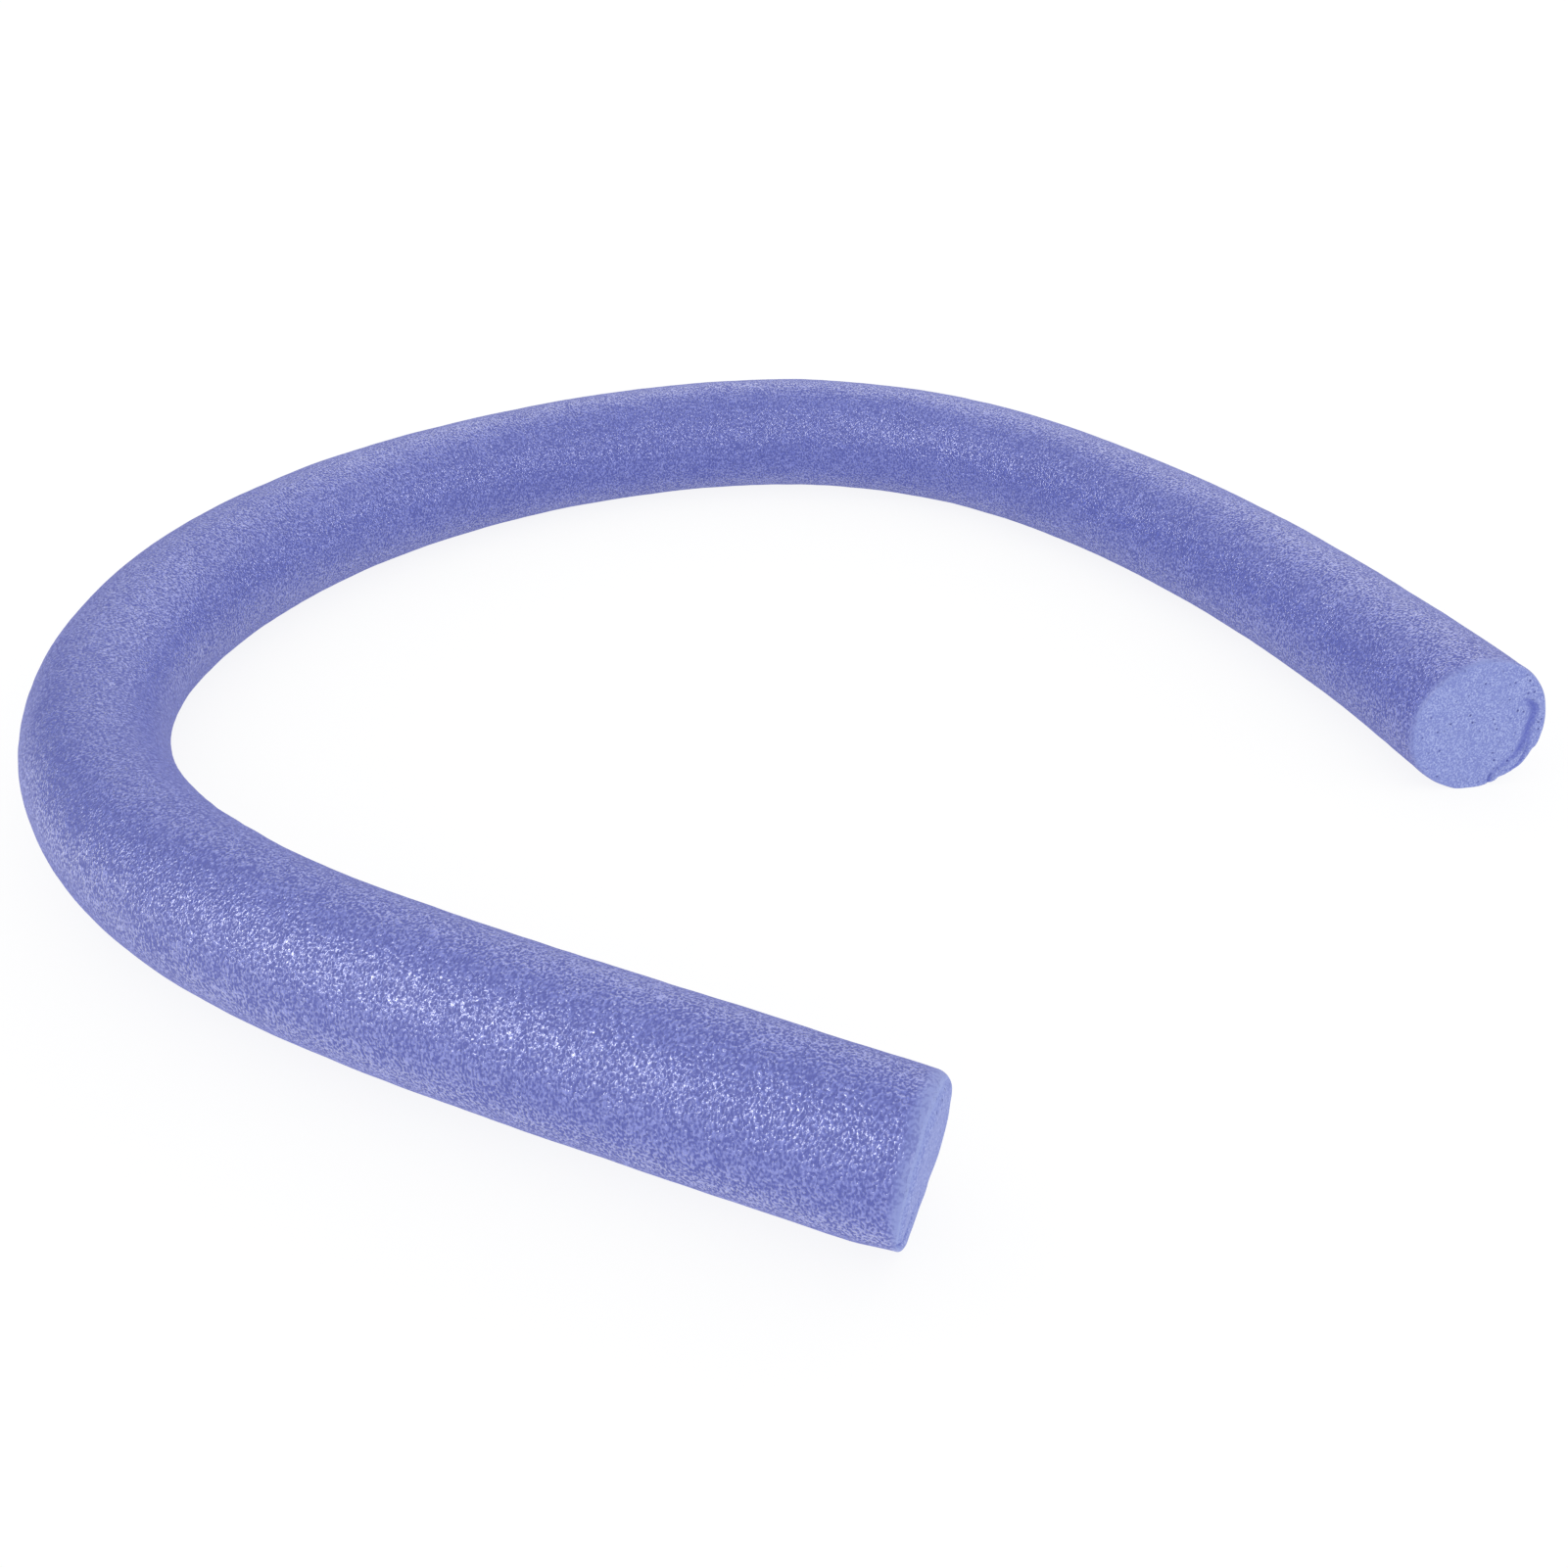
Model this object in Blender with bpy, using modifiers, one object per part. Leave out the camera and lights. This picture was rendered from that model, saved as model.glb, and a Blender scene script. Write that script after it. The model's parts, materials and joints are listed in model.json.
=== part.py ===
# A solid foam pool noodle, bent into a wide hook and lying flat on the ground.
# Metres, +Z up. +X is to the right and +Y away, as seen from the side that the hook's arms point to.
# The origin is the middle of the noodle's box, on the ground.

import math

import bmesh
import bpy
from mathutils import Euler, Matrix, Vector

# Foam rod
noodle_length = 1.500  # along its middle, from cut end to cut end
noodle_diameter = 0.063
resting_depth = 0.0005  # how far the underside is pressed flat by its own weight
front_rim_radius = 0.0055  # the soft edge round each cut end, more worn at the front
back_rim_radius = 0.0020

# The bend, seen from above. It starts at the front cut end and turns clockwise.
front_heading_degrees = 156.20
total_bend_degrees = -230.40
# Tightness of the bend at equal steps along the noodle, against its average
bend_shares = (0.15, 0.0, 0.35, 1.2, 1.6, 1.6, 1.2, 1.05, 1.1, 1.0, 1.85, 1.75, 0.75, 0.55, 0.45, 0.3)
# Thickness at the same steps, against the nominal diameter: extruded foam is never quite even
girth_shares = (0.94, 0.97, 0.99, 1.0, 0.98, 0.99, 1.02, 1.01, 0.99, 1.0, 1.01, 0.99, 0.97, 0.97, 0.97, 1.0)

# Hand-cut ends: how far each cut is off square, sideways and up, as slopes
front_cut_slopes = (-0.088, 0.116)
back_cut_slopes = (0.097, 0.050)

# Creases torn into the cut faces. Each point is an angle in degrees round the face, from its right
# side as seen from outside, then a share of the face's radius, then a share of the crease's size.
crease_width = 0.0034
crease_depth = 0.0045
back_crease_shares = (
    (38, 0.72, 0.2), (24, 0.80, 0.8), (10, 0.79, 1.0), (-8, 0.73, 1.0), (-26, 0.75, 0.9), (-38, 0.79, 0.7),
    (-54, 0.83, 0.2)
)
back_slit_shares = (
    (2, 0.80, 0.1), (-18, 0.84, 0.35), (-33, 0.92, 0.4), (-44, 0.95, 0.45), (-53, 0.88, 0.4), (-60, 0.78, 0.4),
    (-68, 0.84, 0.4), (-72, 0.94, 0.4), (-74, 1.04, 0.3)
)
front_crease_shares = (
    (-88, 0.58, 0.2), (-104, 0.50, 0.6), (-125, 0.46, 0.8), (-143, 0.56, 0.8), (-152, 0.76, 0.7), (-160, 0.92, 0.4)
)

# Fineness of the mesh
ring_step = 0.018
section_sides = 36
rim_segments = 4
crease_steps = 5
steps_between_rings = 10

# What the cutters reach past the foam
cut_overrun = 0.020

foam_color = (0.145, 0.170, 0.560, 1.0)


def clear_scene():
    for old in list(bpy.data.objects):
        bpy.data.objects.remove(old, do_unlink=True)


def new_collection(name):
    collection = bpy.data.collections.new(name)
    bpy.context.scene.collection.children.link(collection)
    return collection


def linear_at(shares, along):
    """The table's value at a place from 0 to 1, on straight lines between its steps."""
    place = along * (len(shares) - 1)
    step = min(int(place), len(shares) - 2)
    return shares[step] + (shares[step + 1] - shares[step]) * (place - step)


def smooth_at(shares, along):
    """The table's value at a place from 0 to 1, on a smooth curve through its steps."""
    last = len(shares) - 1
    place = along * last
    step = min(int(place), last - 1)
    t = place - step
    before, start = shares[max(step - 1, 0)], shares[step]
    end, after = shares[step + 1], shares[min(step + 2, last)]
    slope_in, slope_out = (end - before) / 2, (after - start) / 2
    rise = start - end
    return start + t * (slope_in + t * (-3 * rise - 2 * slope_in - slope_out + t * (2 * rise + slope_in + slope_out)))


def centreline():
    """(point on the ground, heading, share of the length) at each ring, from the front end."""
    rings = round(noodle_length / ring_step)
    steps = rings * steps_between_rings
    average = (sum(bend_shares) - (bend_shares[0] + bend_shares[-1]) / 2) / (len(bend_shares) - 1)
    turn_per_step = math.radians(total_bend_degrees) / average / steps
    point = Vector((0, 0, 0))
    heading = math.radians(front_heading_degrees)
    rows = [(point.copy(), heading, 0)]
    for step in range(steps):
        turn = turn_per_step * linear_at(bend_shares, (step + 0.5) / steps)
        middle = heading + turn / 2
        point += Vector((math.cos(middle), math.sin(middle), 0)) * (noodle_length / steps)
        heading += turn
        if (step + 1) % steps_between_rings == 0:
            rows.append((point.copy(), heading, (step + 1) / steps))
    return rows


def along_heading(heading):
    return Vector((math.cos(heading), math.sin(heading), 0))


def section_profile(helpers):
    """The foam's cross-section: round, with a narrow flat below, drawn about the noodle's middle."""
    radius = noodle_diameter / 2
    flat_half_angle = math.acos(1 - resting_depth / radius)
    start = -math.pi / 2 - flat_half_angle
    sweep = 2 * math.pi - 2 * flat_half_angle
    curve = bpy.data.curves.new("section_profile", "CURVE")
    curve.dimensions = "2D"
    spline = curve.splines.new("POLY")
    spline.points.add(section_sides - 1)
    for index, point in enumerate(spline.points):
        angle = start - sweep * index / (section_sides - 1)
        point.co = (radius * math.cos(angle), radius * math.sin(angle), 0, 1)
    spline.use_cyclic_u = True
    profile = bpy.data.objects.new("section_profile", curve)
    helpers.objects.link(profile)
    hide_helper(profile)
    return profile


def hide_helper(helper):
    helper.hide_render = True
    helper.display_type = "WIRE"


def mesh_from_curve(source, collection):
    """A closed mesh object in place of a curve object, with its caps welded on."""
    bpy.context.view_layer.update()
    evaluated = source.evaluated_get(bpy.context.evaluated_depsgraph_get())
    mesh = bpy.data.meshes.new_from_object(evaluated)
    shape = bmesh.new()
    shape.from_mesh(mesh)
    bmesh.ops.remove_doubles(shape, verts=shape.verts, dist=weld_distance())
    bmesh.ops.recalc_face_normals(shape, faces=shape.faces)
    shape.to_mesh(mesh)
    shape.free()
    name = source.name
    made = bpy.data.objects.new(name, mesh)
    made.matrix_world = source.matrix_world
    collection.objects.link(made)
    bpy.data.objects.remove(source, do_unlink=True)
    made.name = name
    return made


def weld_distance():
    return noodle_diameter / 1e5


def centre_height(along):
    """The middle's height over the ground, where the noodle's flat underside lies at zero."""
    return (noodle_diameter / 2 - resting_depth) * smooth_at(girth_shares, along)


def swept_rod(rows, profile, collection):
    """The rod along its centreline, a little too long at both ends, where it is cut afterwards."""
    curve = bpy.data.curves.new("foam_noodle", "CURVE")
    curve.dimensions = "3D"
    curve.twist_mode = "Z_UP"
    curve.bevel_mode = "OBJECT"
    curve.bevel_object = profile
    curve.use_fill_caps = True
    spare = (
        (rows[0][0] - along_heading(rows[0][1]) * cut_overrun, 0),
        (rows[-1][0] + along_heading(rows[-1][1]) * cut_overrun, 1),
    )
    places = [spare[0]] + [(point, along) for point, _, along in rows[1:-1]] + [spare[1]]
    spline = curve.splines.new("POLY")
    spline.points.add(len(places) - 1)
    for target, (point, along) in zip(spline.points, places):
        target.co = (point.x, point.y, centre_height(along), 1)
        target.radius = smooth_at(girth_shares, along)
    rod = bpy.data.objects.new("foam_noodle", curve)
    collection.objects.link(rod)
    return mesh_from_curve(rod, collection)


def face_axes(row, slopes, outward):
    """Place and turn of a cut face: local +Z points out of the foam, +X to its right, +Y up."""
    point, heading, along = row
    travel = along_heading(heading)
    right = travel.cross(Vector((0, 0, 1)))
    out = (travel + right * slopes[0] + Vector((0, 0, slopes[1]))).normalized() * outward
    side = Vector((0, 0, 1)).cross(out).normalized()
    turn = Matrix((side, out.cross(side), out)).transposed().to_4x4()
    middle = Vector((point.x, point.y, centre_height(along)))
    return Matrix.Translation(middle) @ turn


def add_boolean(target, cutter):
    cut = target.modifiers.new(cutter.name, "BOOLEAN")
    cut.operation = "DIFFERENCE"
    cut.solver = "EXACT"
    cut.object = cutter


def end_cutter(name, face, collection):
    """A block whose lower side is the plane that the noodle was cut on."""
    side = noodle_diameter + 2 * cut_overrun
    height = 2 * cut_overrun
    mesh = bpy.data.meshes.new(name)
    shape = bmesh.new()
    bmesh.ops.create_cube(shape, size=1)
    bmesh.ops.scale(shape, vec=(side, side, height), verts=shape.verts)
    bmesh.ops.translate(shape, vec=(0, 0, height / 2), verts=shape.verts)
    shape.to_mesh(mesh)
    shape.free()
    cutter = bpy.data.objects.new(name, mesh)
    cutter.matrix_world = face
    collection.objects.link(cutter)
    hide_helper(cutter)
    return cutter


def crease_profile(helpers):
    """The crease's wedge: open at the face, closing to an edge inside the foam."""
    mouth = crease_width / 2
    proud = crease_width / 2
    curve = bpy.data.curves.new("crease_profile", "CURVE")
    curve.dimensions = "2D"
    spline = curve.splines.new("POLY")
    corners = ((-mouth, proud), (mouth, proud), (0, -crease_depth))
    spline.points.add(len(corners) - 1)
    for point, corner in zip(spline.points, corners):
        point.co = (*corner, 0, 1)
    spline.use_cyclic_u = True
    profile = bpy.data.objects.new("crease_profile", curve)
    helpers.objects.link(profile)
    hide_helper(profile)
    return profile


def crease_cutter(name, shares, face, girth_share, profile, collection):
    """A wedge swept round the face along the crease, growing and dying away with it."""
    curve = bpy.data.curves.new(name, "CURVE")
    curve.dimensions = "3D"
    curve.twist_mode = "Z_UP"
    curve.bevel_mode = "OBJECT"
    curve.bevel_object = profile
    curve.use_fill_caps = True
    curve.resolution_u = crease_steps
    face_radius = noodle_diameter / 2 * girth_share
    spline = curve.splines.new("BEZIER")
    spline.bezier_points.add(len(shares) - 1)
    for point, (degrees, radius_share, size_share) in zip(spline.bezier_points, shares):
        angle = math.radians(degrees)
        reach = face_radius * radius_share
        point.co = (reach * math.cos(angle), reach * math.sin(angle), 0)
        point.handle_left_type = "AUTO"
        point.handle_right_type = "AUTO"
        point.radius = size_share
    cutter = bpy.data.objects.new(name, curve)
    cutter.matrix_world = face
    collection.objects.link(cutter)
    cutter = mesh_from_curve(cutter, collection)
    hide_helper(cutter)
    return cutter


def foam_material():
    material = bpy.data.materials.new("foam")
    material.use_nodes = True
    shader = material.node_tree.nodes["Principled BSDF"]
    shader.inputs["Base Color"].default_value = foam_color
    shader.inputs["Roughness"].default_value = 0.55
    shader.inputs["Metallic"].default_value = 0.0
    material.diffuse_color = foam_color
    return material


def round_rim(rod, name, radius):
    """Softens the newest cut edge: the earlier ones are rounded already and no longer sharp."""
    rounding = rod.modifiers.new(name, "BEVEL")
    rounding.width = radius
    rounding.segments = rim_segments
    rounding.limit_method = "ANGLE"
    rounding.angle_limit = math.radians(60)
    rounding.use_clamp_overlap = False


def centre_on_box(rod, parts, helpers):
    """Everything moves together, so that the origin is the middle of the rod's box, on the ground."""
    bpy.context.view_layer.update()
    evaluated = rod.evaluated_get(bpy.context.evaluated_depsgraph_get())
    corners = [evaluated.matrix_world @ Vector(corner) for corner in evaluated.bound_box]
    low = [min(corner[axis] for corner in corners) for axis in range(3)]
    high = [max(corner[axis] for corner in corners) for axis in range(3)]
    holder = bpy.data.objects.new("noodle_origin", None)
    parts.objects.link(holder)
    for item in [rod] + list(helpers.objects):
        item.parent = holder
    holder.location = (-(low[0] + high[0]) / 2, -(low[1] + high[1]) / 2, -low[2])


def build():
    clear_scene()
    parts = new_collection("pool_noodle")
    helpers = new_collection("cutters")
    helpers.hide_render = True
    rows = centreline()
    rod = swept_rod(rows, section_profile(helpers), parts)
    front_face = face_axes(rows[0], front_cut_slopes, -1)
    back_face = face_axes(rows[-1], back_cut_slopes, 1)
    add_boolean(rod, end_cutter("front_end_cutter", front_face, helpers))
    round_rim(rod, "front_rim", front_rim_radius)
    add_boolean(rod, end_cutter("back_end_cutter", back_face, helpers))
    round_rim(rod, "back_rim", back_rim_radius)
    wedge = crease_profile(helpers)
    creases = (
        ("front_crease_cutter", front_crease_shares, front_face, girth_shares[0]),
        ("back_crease_cutter", back_crease_shares, back_face, girth_shares[-1]),
        ("back_slit_cutter", back_slit_shares, back_face, girth_shares[-1]),
    )
    for name, shares, face, girth_share in creases:
        add_boolean(rod, crease_cutter(name, shares, face, girth_share, wedge, helpers))
    rod.data.materials.append(foam_material())
    rod.data.shade_smooth()
    rod.data.set_sharp_from_angle(angle=math.radians(35))
    centre_on_box(rod, parts, helpers)


build()
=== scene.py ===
import json
import math

import bpy
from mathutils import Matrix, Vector, noise


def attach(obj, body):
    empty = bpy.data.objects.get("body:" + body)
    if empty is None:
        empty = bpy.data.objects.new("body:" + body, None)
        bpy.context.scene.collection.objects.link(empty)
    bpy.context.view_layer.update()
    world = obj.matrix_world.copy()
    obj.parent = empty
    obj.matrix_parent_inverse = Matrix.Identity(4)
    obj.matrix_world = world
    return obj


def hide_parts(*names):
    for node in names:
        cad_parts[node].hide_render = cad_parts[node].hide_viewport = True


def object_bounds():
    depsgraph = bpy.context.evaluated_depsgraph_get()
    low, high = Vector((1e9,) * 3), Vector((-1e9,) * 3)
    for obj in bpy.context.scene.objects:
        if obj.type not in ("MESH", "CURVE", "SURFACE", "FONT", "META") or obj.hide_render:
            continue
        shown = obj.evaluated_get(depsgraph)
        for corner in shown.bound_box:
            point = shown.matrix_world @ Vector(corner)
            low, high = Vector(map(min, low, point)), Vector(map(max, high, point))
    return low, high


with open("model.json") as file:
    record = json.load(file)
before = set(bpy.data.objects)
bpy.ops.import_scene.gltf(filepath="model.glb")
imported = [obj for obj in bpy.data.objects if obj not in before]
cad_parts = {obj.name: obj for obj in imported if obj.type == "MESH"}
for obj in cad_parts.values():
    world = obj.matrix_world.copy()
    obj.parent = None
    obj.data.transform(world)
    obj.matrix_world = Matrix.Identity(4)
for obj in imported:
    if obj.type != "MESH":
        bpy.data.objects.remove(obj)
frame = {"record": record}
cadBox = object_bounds()
print("frame loaded")


# The bend and the girth
noodle = {
    "length": 1.500,  # along its middle, from cut end to cut end
    "diameter": 0.063,
    "restingDepth": 0.0005,  # pressed flat below by its own weight
    "frontHeading": 156.20,  # degrees, seen from above, at the front cut end
    "totalBend": -230.40,  # degrees, clockwise
    # tightness of the bend at equal steps, against its average
    "bendShares": (0.15, 0.0, 0.35, 1.2, 1.6, 1.6, 1.2, 1.05,
                   1.1, 1.0, 1.85, 1.75, 0.75, 0.55, 0.45, 0.3),
    # thickness at the same steps, against the diameter
    "girthShares": (0.94, 0.97, 0.99, 1.0, 0.98, 0.99, 1.02, 1.01,
                    0.99, 1.0, 1.01, 0.99, 0.97, 0.97, 0.97, 1.0),
    "sides": 96,
    "ringStep": 0.0022,
    "centreSteps": 1500,
}
length = noodle["length"]
radius = noodle["diameter"] / 2


def linearAt(shares, along):
    place = min(max(along, 0), 1) * (len(shares) - 1)
    step = min(int(place), len(shares) - 2)
    return shares[step] + (shares[step + 1] - shares[step]) * (place - step)


def smoothAt(shares, along):
    last = len(shares) - 1
    place = min(max(along, 0), 1) * last
    step = min(int(place), last - 1)
    t = place - step
    before, start = shares[max(step - 1, 0)], shares[step]
    end, after = shares[step + 1], shares[min(step + 2, last)]
    slopeIn, slopeOut = (end - before) / 2, (after - start) / 2
    rise = start - end
    bend = -3 * rise - 2 * slopeIn - slopeOut + t * (2 * rise + slopeIn + slopeOut)
    return start + t * (slopeIn + t * bend)


def easeBetween(low, high, value):
    t = min(max((value - low) / (high - low), 0), 1)
    return t * t * (3 - 2 * t)


def mountPlace(name):
    return next(Vector(m["pos_m"]) for m in frame["record"]["mounts"] if m["name"] == name)


def walkCentreline():
    # point on the ground, heading and tightness at equal steps
    shares, steps = noodle["bendShares"], noodle["centreSteps"]
    stepLength = length / steps
    average = (sum(shares) - (shares[0] + shares[-1]) / 2) / (len(shares) - 1)
    turnPerStep = math.radians(noodle["totalBend"]) / average / steps
    point = mountPlace("front_cut_face").to_2d()
    heading = math.radians(noodle["frontHeading"])
    rows = [(point.copy(), heading, 0)]
    for step in range(steps):
        turn = turnPerStep * linearAt(shares, (step + 0.5) / steps)
        middle = heading + turn / 2
        point += Vector((math.cos(middle), math.sin(middle))) * stepLength
        heading += turn
        rows.append((point.copy(), heading, abs(turn) / stepLength))
    return rows


centreRows = walkCentreline()
print("centreline walked, its far end at", [round(v, 4) for v in centreRows[-1][0]])


def centreAt(run):
    # point, heading and tightness at a run along the noodle, straight on past its ends
    place = run / length * noodle["centreSteps"]
    step = min(max(int(place), 0), noodle["centreSteps"] - 1)
    share = place - step
    start, startHeading, startTight = centreRows[step]
    end, endHeading, endTight = centreRows[step + 1]
    inside = min(max(share, 0), 1)
    heading = startHeading + (endHeading - startHeading) * inside
    return start + (end - start) * share, heading, startTight + (endTight - startTight) * inside


# The skin's larger relief; the fine crinkle is in its material
relief = {
    # size, height and shift of each layer
    "layers": (
        (0.034, 0.00030, (0, 0, 0)),  # slow unevenness of the extrusion
        (0.0085, 0.00013, (7, 3, 1)),  # shallow hollows that break up the shine
        (0.0050, 0.00005, (1, 9, 4)),  # pitting
    ),
    "wrinkleLong": 0.0058, "wrinkleRound": 0.030, "wrinkleHeight": 0.00040,  # squeezed skin inside the bends
    "tightBend": 5.3,  # radians a metre, where the wrinkles are highest
    "wrinkleFade": 1.5,  # how fast they die out round the noodle and where it is straighter
    "leastSqueeze": 0.01,  # none below this
}


def reliefAt(run, across, up, inner, tight):
    # how far the skin stands out from the plain rod
    spot = Vector((run, across, up))
    out = 0
    for size, height, shift in relief["layers"]:
        out += height * noise.noise(spot / size + Vector(shift))
    fade = relief["wrinkleFade"]
    squeeze = max(inner, 0) ** fade * min(tight / relief["tightBend"], 1) ** fade
    if squeeze > relief["leastSqueeze"]:
        aroundSize = relief["wrinkleRound"]
        fold = Vector((run / relief["wrinkleLong"], across / aroundSize, up / aroundSize))
        out -= relief["wrinkleHeight"] * squeeze * abs(noise.noise(fold))
    return out


# Tears in the cut faces. A path's points are degrees round the face from its right side, as seen
# from outside, a share of its radius, and a share of the tear's size.
tears = {
    "front": (
        {"path": ((-120, 0.30, 0.3), (-107, 0.42, 1.0), (-96, 0.54, 0.9), (-90, 0.60, 0.3)),
         "halfWidth": 0.0007, "depth": 0.0020, "lip": 0.0002, "lipHighlight": 0.3, "lean": 0.0},
        {"path": ((-138, 0.42, 0.3), (-143, 0.55, 1.0), (-146, 0.70, 1.0), (-152, 0.82, 0.9),
                  (-161, 0.92, 0.5)),
         "halfWidth": 0.0009, "depth": 0.0015, "lip": 0.0004, "lipHighlight": 0.2, "lean": 0.0},
    ),
    "back": (
        {"path": ((34, 0.68, 0.1), (27, 0.75, 0.6), (20, 0.81, 0.9), (13, 0.84, 1.0), (4, 0.81, 1.0),
                  (-7, 0.785, 1.0), (-19, 0.805, 0.9), (-30, 0.83, 0.9), (-38, 0.84, 0.7),
                  (-46, 0.825, 0.6), (-54, 0.825, 0.5), (-62, 0.84, 0.45), (-68, 0.88, 0.4),
                  (-72, 0.95, 0.3)),
         "halfWidth": 0.0016, "depth": 0.0018, "lip": 0.0004, "lipHighlight": 0.5, "lean": 0.45},
        {"path": ((10, 0.88, 0.2), (0, 0.86, 0.4), (-10, 0.85, 0.6), (-20, 0.865, 0.8),
                  (-30, 0.91, 0.9), (-38, 0.95, 0.9), (-44, 0.98, 0.8), (-50, 0.96, 0.6),
                  (-57, 0.90, 0.4), (-61, 0.82, 0.2)),
         "halfWidth": 0.0007, "depth": 0.0011, "lip": 0.0003, "lipHighlight": 0.2, "lean": 0.0},
        {"path": ((-64, 0.82, 0.4), (-69, 0.90, 0.8), (-71, 0.96, 0.9), (-72, 1.03, 0.6)),
         "halfWidth": 0.0007, "depth": 0.0011, "lip": 0.0003, "lipHighlight": 0.3, "lean": 0.0},
    ),
    "pathSteps": 8,  # between two points of a path
    "narrowest": 0.5,  # share of the half width where a tear's size is nothing
    "colorFade": 0.7,  # the tear's painted shade, with its darker torn foam, reaches a little past the tear's own depth
    "lipAway": 2.2, "lipWidth": 0.8,  # of the raised lip on a tear's outer side, in its half widths
}


def smoothPath(points):
    # points on a smooth curve through the given ones, each with its share of the tear's size
    padded = [points[0]] + list(points) + [points[-1]]
    curve = []
    for a, b, c, d in zip(padded, padded[1:], padded[2:], padded[3:]):
        for k in range(tears["pathSteps"]):
            t = k / tears["pathSteps"]
            curve.append(tuple(
                0.5 * (2 * q + (r - p) * t + (2 * p - 5 * q + 4 * r - s) * t * t
                       + (3 * q - p - 3 * r + s) * t ** 3)
                for p, q, r, s in zip(a, b, c, d)))
    return curve + [tuple(points[-1])]


def readyTears(end):
    # each tear's smooth path in metres on the cut face, with the tear's own values
    made = []
    for tear in tears[end]:
        places = [(radius * share * math.cos(math.radians(deg)), radius * share * math.sin(math.radians(deg)),
                   size) for deg, share, size in tear["path"]]
        made.append((smoothPath(places), tear))
    return made


def tearAt(ready, across, up):
    # how far a point of the cut face sinks, and how torn it is: 1 in the tear, below 0 on its raised lip; this
    # drives the tear's painted shade and the lip's painted highlight
    sink, torn, raised = 0, 0, 0
    narrowest = tears["narrowest"]
    for path, tear in ready:
        best, size, outer = math.inf, 0, 0
        for (ax, ay, aw), (bx, by, bw) in zip(path, path[1:]):
            dx, dy = bx - ax, by - ay
            t = min(max(((across - ax) * dx + (up - ay) * dy) / (dx * dx + dy * dy), 0), 1)
            cx, cy = ax + dx * t, ay + dy * t
            gap = math.hypot(across - cx, up - cy)
            if gap < best:
                best, size = gap, aw + (bw - aw) * t
                outer = math.hypot(across, up) - math.hypot(cx, cy)
        width = tear["halfWidth"] * (narrowest + (1 - narrowest) * size)
        lean = max(-1, min(outer / width, 1)) * tear["lean"]
        far = best / (width * (1 - lean))
        sink += tear["depth"] * size * math.exp(-far ** 2)
        torn = max(torn, size * math.exp(-far ** 2 * tears["colorFade"]))
        if outer > 0:
            ridge = size * math.exp(-((far - tears["lipAway"]) / tears["lipWidth"]) ** 2)
            sink -= tear["lip"] * ridge
            # the raised lip is painted paler: a painted highlight
            raised = max(raised, ridge * tear["lipHighlight"])
    return sink, torn - raised * (1 - torn)


# The cut ends: hand cut, a little off square, with worn edges
cutEnds = {
    "frontRim": 0.0040, "backRim": 0.0020,  # radius of the edges that the rings are laid out for
    "frontRimTop": 0.0068, "frontRimBottom": 0.0008,  # the front edge is worn rounder at its top
    "rimRun": 0.02,  # over this length the rings behind the rim make up for it
    "rimSteps": 10,
    "frontSkinSteps": 5, "backSkinSteps": 6,  # of the rim's steps, those that still have skin on them
    "faceStep": 0.0006,
    "fineRadius": 0.017,  # outside this the face has its full count of points
    "fineSides": 384, "fewestSides": 12,
    "slantRun": 0.045,  # over this length the slant of the cut dies out
    "frontSlopes": (-0.088, 0.121),  # off square, sideways and up
    "backSlopes": (0.097, 0.050),
    "sawSize": 0.007, "sawHeight": 0.00016,  # waviness left by the hand cut
    "waverHeight": 0.0004, "waverPace": 3.1,  # unevenness of the edge
    "waverFrom": 0.9,  # share of the face's flat where it begins
    "reliefFrom": 0.6,  # share of the face's flat where the skin's relief and outline begin
    # reach of the rubbed edge over the skin and over the face, and its strength
    "frontWear": (0.0030, 0.0011, 1.0),
    "backWear": (0.0032, 0.0006, 0.72),
    # the edges' outlines against a true round, by degrees round the face
    "frontOutline": ((-180, 1.0), (-158, 0.99), (-140, 0.955), (-125, 0.965), (-110, 0.99), (-90, 0.985),
                     (-75, 1.0), (0, 1.02), (30, 1.0), (60, 0.97), (100, 1.0), (180, 1.0)),
    "backOutline": ((-180, 1.0), (-113, 0.985), (-95, 1.015), (-80, 1.019), (-71, 1.015), (-66, 1.024),
                    (-62, 1.0), (-56, 1.018), (-50, 1.02), (-44, 1.035), (-34, 1.033), (-27, 1.02),
                    (-23, 1.04), (-10, 1.02), (15, 1.0), (60, 1.005), (180, 1.0)),
    "frontOutlineRun": 0.018, "backOutlineRun": 0.006,  # over this length the outline's corners die out
    # how far the front edge stands out from a plane cut, by degrees
    "frontBulge": ((-180, 0), (-110, 0), (-92, -0.0003), (-75, -0.0005), (-58, -0.0002), (-45, 0.0002),
                   (-25, 0.0005), (-8, 0.0003), (10, 0), (180, 0)),
}


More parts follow.
